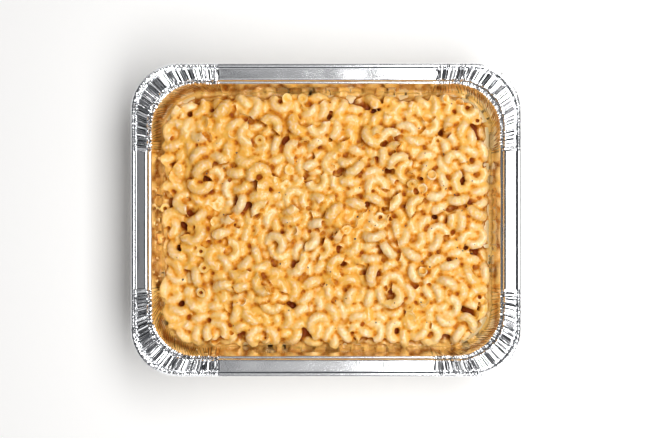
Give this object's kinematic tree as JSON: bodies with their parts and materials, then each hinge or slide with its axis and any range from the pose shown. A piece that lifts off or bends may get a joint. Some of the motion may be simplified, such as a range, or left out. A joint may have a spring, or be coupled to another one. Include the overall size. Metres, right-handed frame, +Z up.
{
  "type": "macaroni and cheese in a foil pan",
  "caption": "Rectangular foil steam pan with a rolled rim and crimped corners, filled with a low heap of elbow macaroni in cheese sauce.",
  "frame": {"origin": "centre of the pan's flat base, on the surface that it stands on", "axes": "+X along the pan's long side, +Y along its short side, +Z up"},
  "size_m": [0.325, 0.261, 0.0649],
  "materials": {
    "foil": "bright rolled foil with fine creases",
    "cheesy_pasta": "moist pasta coated in smooth glossy cheese sauce"
  },
  "bodies": {
    "root": {"foil_pan": "foil", "macaroni_heap": "cheesy_pasta"}
  },
  "joints": []
}
